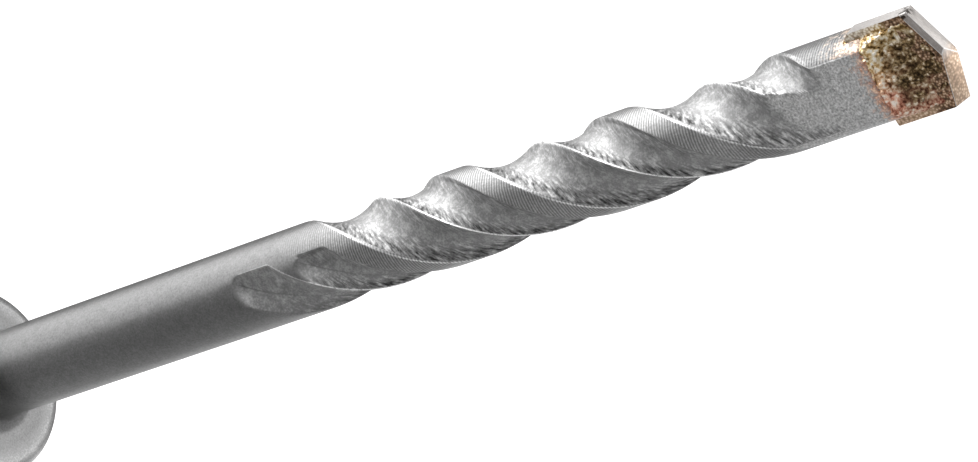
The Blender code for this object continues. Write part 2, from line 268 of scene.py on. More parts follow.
class Surface:
    """A finish in the making: what its patterns read, and the shader that they end in."""

    def __init__(self, name: str, roughness: float, metallic: float) -> None:
        """Start a finish on Object coordinates.

        Args:
            name: Common name of the real material and how its surface was made.
            roughness: Roughness where nothing varies it.
            metallic: 1 for a metal.
        """
        self.material = new_material(name, roughness, metallic)
        self.tree = self.material.node_tree
        self.place = add_node(self.tree, "ShaderNodeTexCoord").outputs["Object"]
        parts = add_node(self.tree, "ShaderNodeSeparateXYZ", {0: self.place})
        self.x, self.y, self.z = (Term(self.tree, part) for part in parts.outputs)

    def mark(self, name: str) -> Term:
        """Value of a mark that the mesh carries."""
        return Term(self.tree, add_node(self.tree, "ShaderNodeAttribute", attribute_name=name).outputs["Fac"])

    def grain(self, size_mm: float, detail: float = 3.0) -> Term:
        """Uneven pattern whose features are about this size.

        Args:
            size_mm: Size of one feature.
            detail: Octaves of finer grain.

        Returns:
            A value round 0.5.
        """
        inputs = {"Vector": self.place, "Scale": MM_PER_METRE / size_mm, "Detail": detail}
        inputs["Roughness"] = OCTAVE_SHARE
        return Term(self.tree, add_node(self.tree, "ShaderNodeTexNoise", inputs).outputs["Fac"])

    def stretched(self, places: tuple[Term, ...], octave_share: float) -> Term:
        """Uneven pattern on coordinates of its own, in which one feature is 1 long.

        Args:
            places: Two or three coordinates.
            octave_share: Weight of each finer octave against the one before it.

        Returns:
            A value round 0.5.
        """
        place = add_node(self.tree, "ShaderNodeCombineXYZ", dict(enumerate(places)))
        inputs = {"Vector": place.outputs[0], "Scale": 1.0, "Detail": 2.0, "Roughness": octave_share}
        return Term(self.tree, add_node(self.tree, "ShaderNodeTexNoise", inputs).outputs["Fac"])

    def cells(self, size_mm: float) -> Term:
        """Rounded granules.

        Args:
            size_mm: Size of one granule.

        Returns:
            1 in the middle of each granule, and near 0 between them.
        """
        inputs = {"Vector": self.place, "Scale": MM_PER_METRE / size_mm}
        node = add_node(self.tree, "ShaderNodeTexVoronoi", inputs)
        return Term(self.tree, node.outputs["Distance"]).between(*CELL_DISTANCES)

    def finished(self, colour: bpy.types.NodeSocket, rough: Term, height: Term, strength: float,
                 depth: float) -> bpy.types.Material:
        """Bring the patterns to the shader.

        Args:
            colour: Colour of the surface.
            rough: Its roughness.
            height: Its fine relief.
            strength: How strongly the relief shows.
            depth: Depth in metres of a relief of 1.

        Returns:
            The finished material.
        """
        relief = {"Height": height, "Strength": strength, "Distance": depth}
        bump = add_node(self.tree, "ShaderNodeBump", relief)
        shader = shader_of(self.material)
        self.tree.links.new(colour, shader.inputs["Base Color"])
        self.tree.links.new(rough.socket, shader.inputs["Roughness"])
        self.tree.links.new(bump.outputs[0], shader.inputs["Normal"])
        return self.material


@dataclass(frozen=True)
class BlastedSteel:
    """Rolled and blasted tool steel: satin grey, with fine ground lines on the lands.

    The blasting gives the eye a soft mottled sheen. The lands keep close bright lines from grinding,
    the flutes are stroked beside each edge and carry a painted shade under the next crest, and the
    gullets are granular. Painted shade also runs along each run-in's crease, the burnished lines carry
    a painted highlight, and the shank's top rim has a painted highlight.
    Beside the braze its flux has stained the lands cream and the gullets copper.

    Sizes ending in _mm are of one feature. Real blasting pits and ground lines are about 0.03 mm,
    too fine for the picture, so they are drawn as coarse as they need to show. Pairs are the two
    heights, radii or shares between which a mark comes in. Fields ending in _tone say how far a mark
    lightens the steel, and those ending in _fall how far it darkens it. _rough and _smooth are for
    its roughness, and _relief for its fine relief.
    """

    grain_mm: float = 0.10
    mottle_mm: float = 0.5
    line_mm: float = 0.15
    line_wander_mm: float = 1.2
    line_wander_turns: float = 1.2
    stroke_mm: float = 0.15
    stroke_stretch: float = 5.0
    stroke_slant_mm: float = 1.4
    stroke_rise: float = 0.5
    stroke_contrast: Range = (0.35, 0.65)
    flux_mm: float = 0.16
    flute_marks: Range = (0.0700, 0.0770)
    ground_lines: Range = (0.0712, 0.0765)
    beside_edge: Range = (0.50, 0.80)
    under_crest: Range = (0.72, 0.90)
    near_crest: Range = (0.42, 0.12)
    waver: float = 0.5
    crest_waver: float = 0.2
    crest_shadow_fade: Range = (0.0965, 0.1005)
    crest_shadow_fade_share: float = 0.6
    strip_shade: Range = (0.0985, 0.1030)
    rim_highlight_radii: Range = (0.0036, 0.0050)
    rim_highlight_heights: Range = (0.0462, 0.0474)
    base_tone: float = 0.36
    grain_tone: float = 0.40
    mottle_tone: float = 0.16
    flute_tone: float = 0.17
    flute_mottle_tone: float = 0.30
    line_tone: float = 0.30
    strip_tone: float = 0.09
    strip_fall: float = 0.29
    edge_stroke_tone: float = 0.26
    crest_stroke_tone: float = 0.38
    near_stroke_tone: float = 0.26
    painted_crest_shadow_fall: float = 0.20
    near_crest_fall: float = 0.06
    painted_crease_shade_fall: float = 0.22
    rim_highlight_tone: float = 0.34
    gullet_tone: float = 0.31
    gullet_grain_tone: float = 0.50
    burnish_glint_tone: float = 0.70
    burnish_and_glint_grain: Range = (0.25, 0.50)
    base_rough: float = 0.40
    cut_rough: float = 0.14
    worn_smooth: float = 0.12
    grain_relief: float = 0.30
    line_relief: float = 0.40
    stroke_relief: float = 0.8
    flux_relief: float = 2.0
    relief_strength: float = 0.45
    relief_depth: float = 0.00002
    stain_start: float = 0.1063
    strip_stain_lead: float = 0.0013
    strip_stain_slope: float = 550.0
    gullet_stain_gain: float = 850.0
    stain_flux_waver: float = 3.0
    stain_mottle_waver: float = 2.4
    steel: Shades = ((0.0, "#3c3c3c"), (0.5, "#969696"), (1.0, "#fafafa"))
    cream: Shades = ((0.35, "#80756a"), (0.5, "#b4a799"), (0.68, "#e6dacc"))
    copper: Shades = ((0.32, "#6a4434"), (0.5, "#c48a6e"), (0.66, "#f6dcc6"))

    def make(self) -> bpy.types.Material:
        """Build the material.

        Returns:
            The material.
        """
        surface = Surface("blasted tool steel", 0.42, 1.0)
        x, y, z = surface.x, surface.y, surface.z
        across = surface.mark("across")
        land = surface.mark("land")
        milled = surface.mark("milled")
        gullet = surface.mark("gullet")
        fine = surface.grain(self.grain_mm, 2.0)
        mottle = surface.grain(self.mottle_mm)
        flux = surface.grain(self.flux_mm)
        lines = self.ground_line_pattern(surface)
        strokes = self.stroke_pattern(surface)

        settled = z.between(*self.flute_marks)
        # Burnished lines: they are smoother, and a painted highlight lightens them nearly to white.
        burnish_and_glint = surface.mark("burnish_and_glint") * milled * settled * fine.between(*self.burnish_and_glint_grain)
        flute = milled * (1.0 - land) * (1.0 - gullet)
        marked = flute * settled
        strip = land * (1.0 - gullet) * z.between(*self.ground_lines)
        wavering = across + (mottle - 0.5) * self.waver
        edge = wavering.between(*self.beside_edge) * marked
        near = wavering.between(*self.near_crest) * marked
        # Zone under each crest: it gets strokes, and a painted shadow.
        under = (across + (mottle - 0.5) * self.crest_waver).between(*self.under_crest) * marked

        tone = (fine - 0.5) * self.grain_tone + (mottle - 0.5) * self.mottle_tone + self.base_tone
        tone = tone + (lines - 0.5) * strip * self.line_tone + strip * self.strip_tone
        stroked = edge * self.edge_stroke_tone + under * self.crest_stroke_tone + near * self.near_stroke_tone
        tone = tone + (strokes - 0.5) * stroked + flute * self.flute_tone
        # Painted shadow under each crest, weaker towards the head.
        crest_shadow_lasting = 1.0 - z.between(*self.crest_shadow_fade) * self.crest_shadow_fade_share
        tone = tone - under * crest_shadow_lasting * self.painted_crest_shadow_fall
        tone = tone - near * self.near_crest_fall + gullet * self.gullet_tone
        tone = tone + (mottle - 0.5) * flute * self.flute_mottle_tone
        # Painted shade along each run-in's crease.
        tone = tone - surface.mark("crease") * milled * self.painted_crease_shade_fall
        # Painted highlight on the shank's top rim.
        from_axis = (x * x + y * y).math("SQRT")
        tone = tone + from_axis.between(*self.rim_highlight_radii) * z.between(*self.rim_highlight_heights) * self.rim_highlight_tone
        tone = tone - strip * z.between(*self.strip_shade) * self.strip_fall
        # Gullet grain, and the painted highlight on the burnished lines.
        tone = tone + (fine - 0.5) * gullet * self.gullet_grain_tone + burnish_and_glint * self.burnish_glint_tone

        past_start = z - self.stain_start + (1.0 - gullet) * self.strip_stain_lead
        stained = past_start * (gullet * self.gullet_stain_gain + self.strip_stain_slope)
        stained = stained + (flux - 0.5) * self.stain_flux_waver + (mottle - 0.5) * self.stain_mottle_waver
        stained = stained.clamped()
        colour = coated(Coat(flux, self.cream), Coat(flux, self.copper, gullet),
                        Coat(tone.clamped(), self.steel, 1.0 - stained))
        rough = (flute + gullet) * self.cut_rough - burnish_and_glint * self.worn_smooth + self.base_rough
        height = fine * self.grain_relief + lines * strip * self.line_relief
        height = height + strokes * edge * self.stroke_relief + stained * flux * self.flux_relief
        return surface.finished(colour, rough, height, self.relief_strength, self.relief_depth)

    def ground_line_pattern(self, surface: Surface) -> Term:
        """Close lines round the axis, a little uneven.

        Args:
            surface: Finish that gets the pattern.

        Returns:
            A wave from 0 to 1.
        """
        wander = surface.grain(self.line_wander_mm, 2.0)
        turns = surface.z * (MM_PER_METRE / self.line_mm) + wander * self.line_wander_turns
        return (turns * 360.0).sin() * 0.5 + 0.5

    def stroke_pattern(self, surface: Surface) -> Term:
        """Short strokes across a flute, as its cutter left them.

        Args:
            surface: Finish that gets the pattern.

        Returns:
            A value from 0 to 1.
        """
        height_mm = surface.z * MM_PER_METRE
        turn = surface.y.math("ARCTAN2", surface.x)
        along = (height_mm - turn * self.stroke_slant_mm) / self.stroke_mm
        around_mm = turn * (BIT.shaft_radius * MM_PER_METRE) + height_mm * self.stroke_rise
        around = around_mm / (self.stroke_mm * self.stroke_stretch)
        return surface.stretched((along, around), OCTAVE_SHARE).between(*self.stroke_contrast)


@dataclass(frozen=True)
class GroundCarbide:
    """Sintered tungsten carbide: dark and grainy as pressed, pale and finely scratched where ground.

    Braze has stained its cheeks olive, gold, tan and brown, and an outer corner has small dark chips.
    Its real grain is a few thousandths of a millimetre, so spots and scratches are drawn coarser.
    Pairs are the two places in metres between which a stain comes in, or the two values between
    which a pattern does.
    """

    grain_mm: float = 0.12
    cell_mm: float = 0.13
    spot_mm: float = 0.22
    chip_mm: float = 0.30
    scratch_width_mm: float = 1 / 22
    scratch_length_mm: float = 0.4
    cell_spots: float = 0.6
    grain_spots: float = 0.6
    spot_fall: float = 0.10
    chip_contrast: Range = (0.50, 0.55)
    ground_tone: float = 0.60
    grain_tone: float = 0.25
    scratch_tone: float = 0.25
    tone_fall: float = 0.05
    stain_share: float = 0.85
    stain_spots: float = 0.3
    pressed_rough: float = 0.52
    ground_smooth: float = 0.20
    grain_rough: float = 0.08
    grain_relief: float = 0.5
    scratch_relief: float = 0.4
    relief_strength: float = 0.5
    relief_depth: float = 0.00002
    least_ground: float = 0.3
    bare_end: Range = (-0.0004, 0.0002)
    bare_share: float = 0.9
    chip_places: Range = (0.0018, 0.0022)
    chip_heights: Range = (0.1086, 0.1090)
    gold_side: Range = (0.0009, 0.0016)
    tan_side: Range = (-0.0013, -0.0020)
    brown_band: Range = (0.1086, 0.1090)
    brown_slope: float = 0.32
    brown_waver: float = 0.0004
    cream_corner: Range = (0.0011, 0.0015)
    cream_slope: float = 0.55
    cream_waver: float = 0.0005
    plain: Shades = ((0.0, "#3c3a38"), (0.5, "#9a9592"), (1.0, "#f6f4f2"))
    olive: Shades = ((0.25, "#4e3c28"), (0.5, "#9a7850"), (0.8, "#e0c490"))
    gold: Shades = ((0.15, "#86693c"), (0.42, "#dcc08a"), (0.68, "#fffae8"))
    tan: Shades = ((0.2, "#a88a70"), (0.5, "#d2b498"), (0.8, "#f4e2ce"))
    brown: Shades = ((0.2, "#54402f"), (0.5, "#9a7a60"), (0.8, "#e8ceb4"))
    cream: Shades = ((0.15, "#b8a48a"), (0.45, "#eadfce"), (0.7, "#fffaf0"))
    chip: Shades = ((0.0, "#3a322c"), (1.0, "#3a322c"))

    def make(self) -> bpy.types.Material:
        """Build the material.

        Returns:
            The material.
        """
        surface = Surface("ground sintered carbide", 0.35, 1.0)
        x, y, z = surface.x, surface.y, surface.z
        ground = surface.mark("ground")
        facet = ground.above(self.least_ground)
        fine = surface.grain(self.grain_mm)
        spots = surface.cells(self.cell_mm) * self.cell_spots + surface.grain(self.spot_mm) * self.grain_spots
        spots = (spots - self.spot_fall).clamped()
        lengthwise = MM_PER_METRE / self.scratch_length_mm
        crosswise = MM_PER_METRE / self.scratch_width_mm
        scratch = surface.stretched((x * lengthwise, y * crosswise, z * lengthwise), 0.5)

        chips = surface.grain(self.chip_mm, 2.0).between(*self.chip_contrast) * facet
        chips = chips * x.between(*self.chip_places) * z.between(*self.chip_heights)
        stain = surface.mark("stain") * (1.0 - facet * x.between(*self.bare_end) * self.bare_share)
        stained = (stain * (spots * self.stain_spots + self.stain_share)).clamped()
        uneven = spots - 0.5
        under_bevel = z + x.math("ABSOLUTE") * self.brown_slope + uneven * self.brown_waver
        corner = x - (z - BIT.plate_bottom) * self.cream_slope + uneven * self.cream_waver
        tone = ground * self.ground_tone + fine * self.grain_tone + scratch * self.scratch_tone
        tone = (tone - self.tone_fall).clamped()
        colour = coated(
            Coat(spots, self.olive),
            Coat(spots, self.gold, x.between(*self.gold_side)),
            Coat(spots, self.tan, x.between(*self.tan_side)),
            Coat(spots, self.brown, under_bevel.between(*self.brown_band)),
            Coat(spots, self.cream, corner.between(*self.cream_corner)),
            Coat(spots, self.tan, facet),
            Coat(tone, self.plain, 1.0 - stained),
            Coat(tone, self.chip, chips),
        )
        rough = self.pressed_rough - ground * self.ground_smooth + fine * self.grain_rough
        height = fine * self.grain_relief + scratch * self.scratch_relief
        return surface.finished(colour, rough, height, self.relief_strength, self.relief_depth)


@dataclass(frozen=True)
class GranularBraze:
    """Copper and silver braze as it set: coarse bright granules, golden or pink with flux, and a painted
    shade in the hollow beside the plate.
    """

    granule_mm: float = 0.24
    cell_mm: float = 0.18
    patch_mm: float = 1.3
    granule_tone: float = 1.5
    cell_tone: float = 0.26
    tone_fall: float = 0.40
    base_rough: float = 0.50
    cell_smooth: float = 0.18
    cell_relief: float = 0.5
    relief_strength: float = 1.0
    relief_depth: float = 0.00008
    golden_slope: float = 500.0
    golden_middle: float = 0.45
    golden_waver: float = 1.4
    gold: Shades = ((0.18, "#5c4828"), (0.36, "#cdaa74"), (0.52, "#fcecc8"), (0.66, "#fffcf4"))
    pink: Shades = ((0.18, "#7a4c3a"), (0.36, "#d0917a"), (0.52, "#f4ceb6"), (0.66, "#fff2e6"))
    # Shades of the painted shade in the hollow beside the plate.
    dark: Shades = ((0.18, "#281e14"), (0.40, "#5e4c34"), (0.58, "#a48c68"), (0.78, "#fff0d8"))

    def make(self) -> bpy.types.Material:
        """Build the material.

        Returns:
            The material.
        """
        surface = Surface("granular copper braze", 0.45, 1.0)
        granules = surface.grain(self.granule_mm)
        cell = surface.cells(self.cell_mm)
        patch = surface.grain(self.patch_mm, 2.0)
        golden = surface.x * self.golden_slope + self.golden_middle + (patch - 0.5) * self.golden_waver
        bright = (granules * self.granule_tone + cell * self.cell_tone - self.tone_fall).clamped()
        # The top coat is the painted shade in the hollow.
        colour = coated(Coat(bright, self.pink), Coat(bright, self.gold, golden.clamped()),
                        Coat(bright, self.dark, surface.mark("hollow_shade")))
        rough = self.base_rough - cell * self.cell_smooth
        height = granules + cell * self.cell_relief
        return surface.finished(colour, rough, height, self.relief_strength, self.relief_depth)


# Mesh helpers


def link_object(name: str, mesh: bpy.types.Mesh) -> bpy.types.Object:
    """Put a mesh into the scene as an object at the origin.

    Args:
        name: Name of the object.
        mesh: Its mesh.

    Returns:
        The object.
    """
    obj = bpy.data.objects.new(name, mesh)
    bpy.context.scene.collection.objects.link(obj)
    return obj


def mesh_from(name: str, bm: bmesh.types.BMesh) -> bpy.types.Mesh:
    """Turn a bmesh into a mesh with outward normals.

    Args:
        name: Name of the mesh.
        bm: The bmesh, which is freed.

    Returns:
        The mesh.
    """
    bmesh.ops.recalc_face_normals(bm, faces=bm.faces)
    mesh = bpy.data.meshes.new(name)
    bm.to_mesh(mesh)
    bm.free()
    return mesh


def plain_copy(obj: bpy.types.Object, name: str) -> bpy.types.Mesh:
    """Plain mesh of an object as its modifiers leave it.

    Args:
        obj: Object whose modifiers are evaluated and then removed.
        name: Name of the new mesh.

    Returns:
        The new mesh, which the object now uses.
    """
    evaluated = obj.evaluated_get(bpy.context.evaluated_depsgraph_get())
    mesh = bpy.data.meshes.new_from_object(evaluated)
    mesh.name = name
    obj.modifiers.clear()
    obj.data = mesh
    return mesh


def skin(bm: bmesh.types.BMesh, rows: list[list[bmesh.types.BMVert]]) -> None:
    """Join closed rows of points into a skin with both ends capped.

    Args:
        bm: The bmesh that holds the points.
        rows: Rows of as many points each.
    """
    for low, high in zip(rows, rows[1:]):
        for i, corner in enumerate(low):
            j = (i + 1) % len(low)
            bm.faces.new((corner, low[j], high[j], high[i]))
    bm.faces.new(list(reversed(rows[0])))
    bm.faces.new(rows[-1])


def extruded(outline: list[Vector], direction: Vector) -> bmesh.types.BMesh:
    """Closed mesh of a flat outline pushed along a direction.

    Args:
        outline: Corners of the outline.
        direction: How far and where it is pushed.

    Returns:
        The bmesh.
    """
    bm = bmesh.new()
    face = bm.faces.new([bm.verts.new(point) for point in outline])
    pushed = bmesh.ops.extrude_face_region(bm, geom=[face], use_keep_orig=True)
    moved = [item for item in pushed["geom"] if isinstance(item, bmesh.types.BMVert)]
    bmesh.ops.translate(bm, vec=direction, verts=moved)
    return bm


def plane_cut(bm: bmesh.types.BMesh, point: Vector, normal: Vector) -> None:
    """Take off what lies outside a plane and close the cut.

    Args:
        bm: Closed bmesh that is cut.
        point: A point of the plane.
        normal: Direction of what is taken off.
    """
    geometry = bm.verts[:] + bm.edges[:] + bm.faces[:]
    cut = bmesh.ops.bisect_plane(bm, geom=geometry, plane_co=point, plane_no=normal, clear_outer=True)
    edges = [item for item in cut["geom_cut"] if isinstance(item, bmesh.types.BMEdge)]
    bmesh.ops.contextual_create(bm, geom=edges)


def combine(obj: bpy.types.Object, operation: str, tool: bmesh.types.BMesh) -> None:
    """Apply an exact boolean to an object and leave it plain.

    Args:
        obj: Object that is changed.
        operation: DIFFERENCE or INTERSECT.
        tool: Closed bmesh that cuts or bounds the object. It is freed.
    """
    other = link_object("boolean tool", mesh_from("boolean tool", tool))
    boolean = obj.modifiers.new("boolean", "BOOLEAN")
    boolean.operation = operation
    boolean.solver = "EXACT"
    boolean.object = other
    plain_copy(obj, obj.name)
    bpy.data.objects.remove(other, do_unlink=True)


# Drill body


@dataclass(frozen=True)
class Place:
    """Where each point of the fluted section lies, for the marks that the finish reads."""

    height: Term
    wide: Term
    land: Term
    narrow: Term
    on_land: Term
    past_gullet_mm: Term


@dataclass(frozen=True)
class FluteRule:
    """Rule of the fluted section: a node tree that turns a plain blank into the fluted body.

    Angles are in degrees and sizes in metres. Shares are of the columns from one ridge to the next.
    """

    lead: float = 0.01986
    edge_azimuth: float = 131.0
    land_angle: float = 33.0
    shoulder_angle: float = 4.9
    wide_angle: float = 80.6
    shoulder_drop: float = 0.00026
    wide_hollow: float = 0.00005
    narrow_hollow: float = 0.00006
    ridge_drop_start: float = 0.00003
    ridge_drop_end: float = 0.00021
    land_edge_drop: float = 0.00004
    run_in: float = 0.00040
    run_in_rounding: float = 0.0003
    wide_lead: float = 45.9
    narrow_lead: float = 36.5
    lead_blend: float = 0.0025
    crease_depth: float = 0.00010
    crease_length: float = 0.0035
    wide_crease: float = 29.0
    narrow_crease: float = 25.5
    least_crease_share: float = 0.08
    gullet_angle: float = 91.0
    gullet_edge: float = 127.0
    least_ridge_angle: float = 18.0
    head_land_gain: float = 9.0
    head_land_gain_length: float = 0.0026
    wide_share: float = 0.40
    land_share: float = 0.63
    shoulder_share: float = 0.69
    wall_share: float = 0.60
    edge_round_share: float = 0.13
    column_play: float = 0.001

    # Where the gullets' grain begins: millimetres past the flat, heights, and shares of the land.
    gullet_cut_mm: Range = (-0.02, 0.09)
    gullet_lead: float = 0.004
    past_flutes: Range = (0.1042, 0.1046)
    over_edge_land: Range = (0.30, 0.45)
    over_edge_heights: Range = (0.1005, 0.1020)

    # Burnished lines, which also carry a painted highlight: middle and half width of each as shares of the
    # land, and their heights.
    edge_line: tuple[float, float] = (0.07, 0.05)
    far_line: tuple[float, float] = (0.95, 0.05)
    far_line_start: Range = (0.0990, 0.1000)
    edge_line_end: Range = (0.1032, 0.1042)
    ridge_line_wide: float = 0.035
    ridge_line_narrow: float = 0.03
    cut_line_mm: float = 0.02
    cut_line_share: float = 0.55
    cut_line_start: float = 0.1015
    # Painted shade along each crease: its half width, and the height over which it fades out.
    painted_crease_shade_width: float = 0.035
    painted_crease_shade_length: float = 0.0055

    def apply(self, blank: bpy.types.Object, finish: bpy.types.Material) -> None:
        """Mill the flutes into a blank.

        Args:
            blank: Object whose points carry share, side and beyond. It is left as a plain mesh.
            finish: The steel's material.
        """
        modifier = blank.modifiers.new("fluted section", "NODES")
        tree = self.build_tree(finish)
        modifier.node_group = tree
        values = self.named_sizes()
        for item in tree.interface.items_tree:
            if item.in_out == "INPUT" and item.name in values:
                modifier[item.identifier] = values[item.name]
        plain_copy(blank, blank.name)

    def named_sizes(self) -> dict[str, float]:
        """Sizes that the tree takes.

        Returns:
            Each size by the name of its input.
        """
        return {
            "shaft radius": BIT.shaft_radius,
            "wide flute start": BIT.wide_flute_start,
            "narrow flute start": BIT.narrow_flute_start,
            "head start": BIT.head_start,
            "flute lead": self.lead,
            "flute edge azimuth": self.edge_azimuth,
            "land angle": self.land_angle,
            "shoulder angle": self.shoulder_angle,
            "wide flute angle": self.wide_angle,
            "shoulder drop": self.shoulder_drop,
            "land edge drop": self.land_edge_drop,
            "wide flute hollow": self.wide_hollow,
            "narrow flute hollow": self.narrow_hollow,
            "ridge drop at the start": self.ridge_drop_start,
            "ridge drop at the head": self.ridge_drop_end,
            "run-in": self.run_in,
            "run-in rounding": self.run_in_rounding,
            "wide flute lead": self.wide_lead,
            "narrow flute lead": self.narrow_lead,
            "lead blend": self.lead_blend,
            "crease depth": self.crease_depth,
            "crease length": self.crease_length,
            "wide flute crease": self.wide_crease,
            "narrow flute crease": self.narrow_crease,
            "gullet angle": self.gullet_angle,
            "gullet edge": self.gullet_edge,
            "head land gain": self.head_land_gain,
            "head land gain length": self.head_land_gain_length,
        }

    def build_tree(self, finish: bpy.types.Material) -> bpy.types.NodeTree:
        """Build the node tree, which places every point and stores what the finish reads.

        Args:
            finish: The steel's material.

        Returns:
            The tree.
        """
        tree = bpy.data.node_groups.new("fluted section", "GeometryNodeTree")
        tree.interface.new_socket(name="Geometry", in_out="INPUT", socket_type="NodeSocketGeometry")
        for name in self.named_sizes():
            tree.interface.new_socket(name=name, in_out="INPUT", socket_type="NodeSocketFloat")
        tree.interface.new_socket(name="Geometry", in_out="OUTPUT", socket_type="NodeSocketGeometry")
        entry = add_node(tree, "NodeGroupInput")
        size = {name: Term(tree, entry.outputs[name]) for name in self.named_sizes()}
        point = {}
        for name in ("share", "side", "beyond"):
            value = add_node(tree, "GeometryNodeInputNamedAttribute", {"Name": name}, data_type="FLOAT")
            point[name] = Term(tree, value.outputs[0])
        position = add_node(tree, "GeometryNodeInputPosition")
        parts = add_node(tree, "ShaderNodeSeparateXYZ", {0: position.outputs[0]})
        height = Term(tree, parts.outputs[2])
        azimuth, radius, marks = self.section(size, point, height)
        turned = azimuth + point["side"] * 180.0
        milled = add_node(tree, "ShaderNodeCombineXYZ", {
            0: turned.cos() * radius, 1: turned.sin() * radius, 2: height})
        geometry = entry.outputs["Geometry"]
        for name, value in marks.items():
            store = add_node(tree, "GeometryNodeStoreNamedAttribute", {
                "Geometry": geometry, "Name": name, "Value": value}, data_type="FLOAT", domain="POINT")
            geometry = store.outputs[0]
        moved = add_node(tree, "GeometryNodeSetPosition", {
            "Geometry": geometry, "Position": milled.outputs[0]})
        real = add_node(tree, "GeometryNodeRealizeInstances", {0: moved.outputs[0]})
        dressed = add_node(tree, "GeometryNodeSetMaterial", {
            "Geometry": real.outputs[0], "Material": finish})
        add_node(tree, "NodeGroupOutput", {0: dressed.outputs[0]})
        return tree

    def section(self, size: dict[str, Term], point: dict[str, Term],
                height: Term) -> tuple[Term, Term, dict[str, Term]]:
        """Work out the section at each point's height.

        Args:
            size: Inputs of the tree.
            point: The blank's own attributes.
            height: Height of the point.

        Returns:
            Azimuth, radius, and the marks that the finish reads.
        """
        share = point["share"]
        wide = share.between(0.0, self.wide_share)
        land = share.between(self.wide_share, self.land_share)
        shoulder = share.between(self.land_share, self.shoulder_share)
        narrow = share.between(self.shoulder_share, 1.0)
        past_land = share.above(self.land_share)
        wide_start = size["wide flute start"]
        narrow_start = size["narrow flute start"]
        shaft = size["shaft radius"]

        # Azimuths of the ridge and of the land's two edges, and of each point between them.
        turning = height.highest(wide_start)
        head = turning - size["head start"]
        free = size["flute edge azimuth"] + head * 360.0 / size["flute lead"]
        wide_ahead = self.ahead(size, turning, wide_start, size["wide flute lead"])
        ridge = free - size["wide flute angle"] + wide_ahead
        ridge = ridge.lowest(size["gullet edge"] - self.least_ridge_angle)
        edge = free.lowest(size["gullet edge"])
        narrow_ahead = self.ahead(size, turning, narrow_start, size["narrow flute lead"])
        gain = size["head land gain"] * (head / size["head land gain length"]).eased()
        land_width = size["land angle"] + narrow_ahead + gain
        last = size["gullet edge"] - size["gullet angle"] + 180.0
        far_edge = (free + land_width).lowest(last)
        wide_span = edge - ridge
        narrow_span = ridge + 180.0 - far_edge - size["shoulder angle"]
        wide_part, wide_bend = self.creased(wide, wide_span, size["wide flute crease"])
        narrow_part, narrow_bend = self.creased(narrow, narrow_span, size["narrow flute crease"])
        azimuth = ridge + wide_part * wide_span + land * (far_edge - edge)
        azimuth = azimuth + shoulder * size["shoulder angle"] + narrow_part * narrow_span

        # Radii of the ridge and of both flutes' floors, and the depth below the shaft's radius.
        along = (height - narrow_start) / (size["head start"] - narrow_start)
        fall = size["ridge drop at the head"] - size["ridge drop at the start"]
        ridge_drop = size["ridge drop at the start"] + fall * along.clamped()
        ridge_radius = shaft - ridge_drop * self.started(size, height, narrow_start, 0.5)
        past = (azimuth - free - land_width) / size["shoulder angle"]
        drop = size["shoulder drop"] * past.eased() * self.started(size, height, narrow_start, 0.0)
        round_left = (1.0 - land / self.edge_round_share).clamped()
        edge_drop = size["land edge drop"]
        wide_floor = self.floor(wide_part, wide_span, ridge_radius, shaft - edge_drop,
                                size["wide flute hollow"])
        wide_floor = wide_floor - wide_bend * self.creasing(size, height, wide_start)
        wide_depth = shaft - wide_floor - edge_drop * (1.0 - round_left * round_left)
        foot_radius = shaft - drop.lowest(size["shoulder drop"])
        narrow_floor = self.floor(narrow_part, narrow_span, foot_radius, ridge_radius,
                                  size["narrow flute hollow"])
        narrow_floor = narrow_floor - narrow_bend * self.creasing(size, height, narrow_start)
        in_narrow = narrow.above(0.0)
        wide_begun = self.started(size, height, wide_start, wide_part)
        narrow_begun = self.started(size, height, narrow_start, narrow_part)
        depth = wide_depth * wide_begun + in_narrow * ((shaft - narrow_floor) * narrow_begun)
        depth = depth + (1.0 - in_narrow) * drop

        # The gullets' flats cut off what stands beyond them.
        middle = size["gullet edge"] - size["gullet angle"] / 2.0
        half = (edge - middle).highest(0.0)
        off = (azimuth - middle - past_land * 180.0).math("ABSOLUTE").lowest(half)
        flat = shaft * half.cos() / off.cos()
        radius = (shaft - depth).lowest(flat) + point["beyond"]

        on_land = share.above(self.wide_share - self.column_play) * (1.0 - past_land)
        past_gullet_mm = (shaft - depth - flat) * MM_PER_METRE
        place = Place(height, wide_part, land, narrow_part, on_land, past_gullet_mm)
        # Lines along the run-ins' creases, where the finish paints shade.
        wide_crease = self.painted_crease_shade_line(wide, height, wide_start)
        gullet = self.gullet(place)
        marks = {
            "across": wide_part - share.above(self.wide_share) + narrow_part,
            "land": on_land,
            "crease": wide_crease.highest(self.painted_crease_shade_line(narrow, height, narrow_start)),
            "milled": past_land * narrow_begun + (1.0 - past_land) * wide_begun,
            "gullet": gullet,
            "burnish_and_glint": self.burnish_and_glint(place) * (1.0 - gullet),
        }
        return azimuth, radius, marks

    def gullet(self, place: Place) -> Term:
        """Mark where the surface has the gullets' grain.

        Args:
            place: Where each point lies.

        Returns:
            1 in the gullets and 0 elsewhere.
        """
        in_cut = place.past_gullet_mm.between(*self.gullet_cut_mm)
        in_cut = in_cut * place.height.above(BIT.head_start - self.gullet_lead)
        past_flutes = place.height.between(*self.past_flutes) * (1.0 - place.on_land)
        over_edge = place.on_land * (1.0 - place.land.between(*self.over_edge_land))
        over_edge = over_edge * place.height.between(*self.over_edge_heights)
        return in_cut.highest(past_flutes).highest(over_edge)

